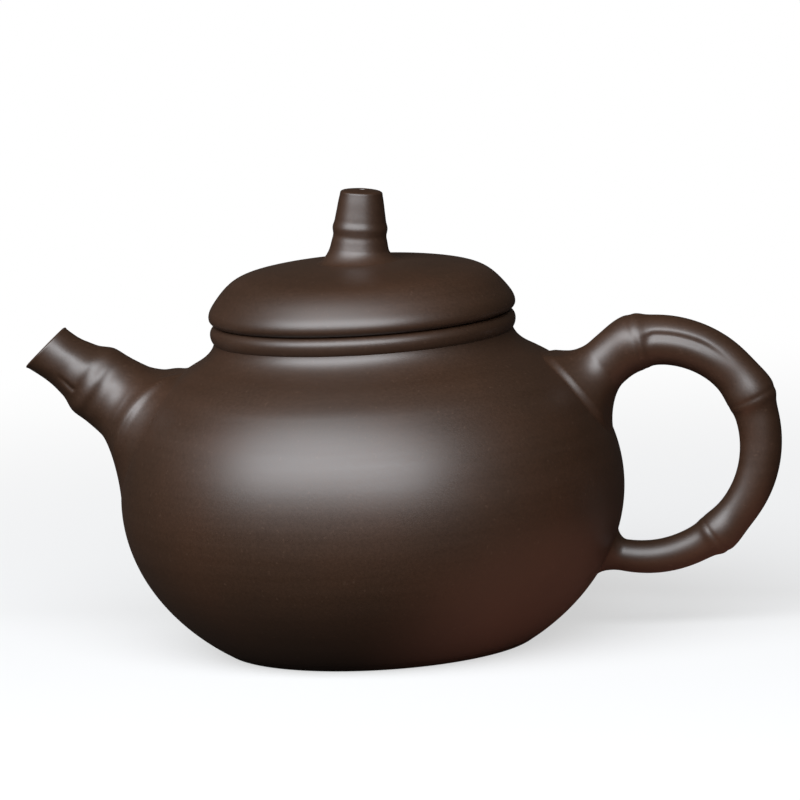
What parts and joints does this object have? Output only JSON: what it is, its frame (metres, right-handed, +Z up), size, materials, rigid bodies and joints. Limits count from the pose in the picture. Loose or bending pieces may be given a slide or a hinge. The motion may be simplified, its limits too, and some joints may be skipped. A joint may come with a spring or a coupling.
{
  "type": "yixing clay teapot",
  "caption": "Squat round unglazed clay teapot with a bamboo-jointed spout, loop handle and knob, and a domed lid that lifts off.",
  "frame": {"origin": "centre of the foot ring's flat underside, on the pot's turning axis", "axes": "+Z up along the turning axis, +X towards the handle, so that the spout points along -X"},
  "size_m": [0.1499, 0.1, 0.091],
  "materials": {
    "burnished_clay": "unglazed purple-brown clay, burnished to a soft satin",
    "bare_clay": "unglazed purple-brown clay, matt, less burnished"
  },
  "bodies": {
    "pot": {"body_wall": "burnished_clay", "base_disc": "bare_clay", "foot_ring": "bare_clay", "shoulder_disc": "burnished_clay", "mouth_ring": "burnished_clay", "spout": "burnished_clay", "strainer": "bare_clay", "handle": "burnished_clay"},
    "lid": {"lid_plate": "burnished_clay", "lid_flange": "bare_clay", "knob": "burnished_clay"}
  },
  "joints": [
    {"name": "lid_lift", "type": "slide", "parent": "pot", "child": "lid", "axis": [0, 0, 1], "range_m": [0, 0.06]}
  ]
}
